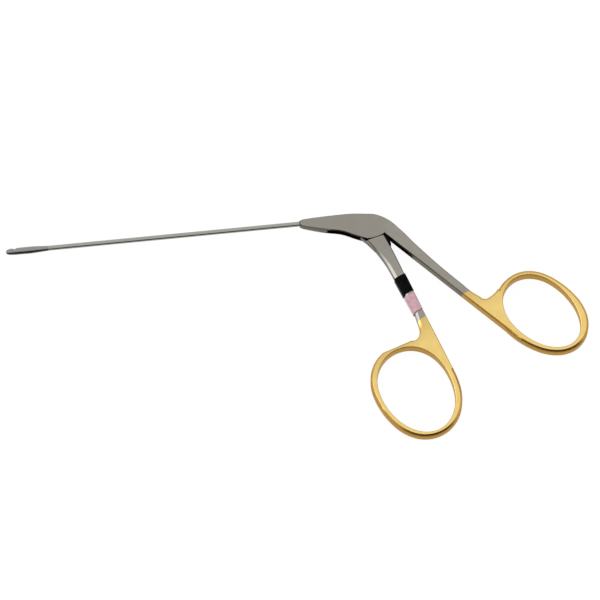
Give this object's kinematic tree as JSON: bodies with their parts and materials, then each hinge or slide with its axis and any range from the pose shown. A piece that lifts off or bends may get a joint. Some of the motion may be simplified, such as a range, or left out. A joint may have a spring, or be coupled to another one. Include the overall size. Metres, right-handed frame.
{
  "type": "arthroscopic forceps",
  "caption": "Slim grasping forceps for keyhole joint surgery: long straight tubular shaft, tiny hinged cup jaws and two offset gold-plated finger rings on a scissor handle",
  "frame": {"origin": "on the shaft's axis, at the front face of the handle's nose, half way through the thickness", "axes": "+X along the shaft from the jaws to the handle, +Y square to it in the plane of the rings and away from them, +Z through the thickness of the handles; the jaws point to -X"},
  "size_m": [0.1935, 0.0807, 0.0058],
  "materials": {
    "satin_steel": "satin",
    "bright_steel": "polished",
    "black_sleeve": "matte",
    "pink_tape": "satin"
  },
  "bodies": {
    "body": {"fixed_handle": "satin_steel", "shaft_tube": "bright_steel", "lower_jaw": "bright_steel", "jaw_pivot_pin": "bright_steel", "handle_pivot_pin": "satin_steel"},
    "lever": {"front_handle": "satin_steel", "black_band": "black_sleeve", "pink_band": "pink_tape"},
    "rod": {"drive_rod": "bright_steel", "rod_end": "bright_steel", "rod_blade": "bright_steel", "rod_tip_pin": "bright_steel"},
    "jaw": {"upper_jaw": "bright_steel"}
  },
  "joints": [
    {"name": "handle_hinge", "type": "hinge", "parent": "body", "child": "lever", "pos_m": [0.0222, -0.00475, 0], "axis": [0, 0, -1], "range_deg": [0, 11]},
    {"name": "rod_slide", "type": "slide", "parent": "body", "child": "rod", "axis": [1, 0, 0], "range_m": [0, 0.000899]},
    {"name": "jaw_hinge", "type": "hinge", "parent": "body", "child": "jaw", "pos_m": [-0.0958, -0.0004, 0], "axis": [0, 0, -1], "range_deg": [0, 53]}
  ],
  "couplings": [
    {"joint": "rod_slide", "follows": "handle_hinge", "m_per_rad": 0.0046524},
    {"joint": "jaw_hinge", "follows": "handle_hinge", "ratio": 4.7984}
  ]
}
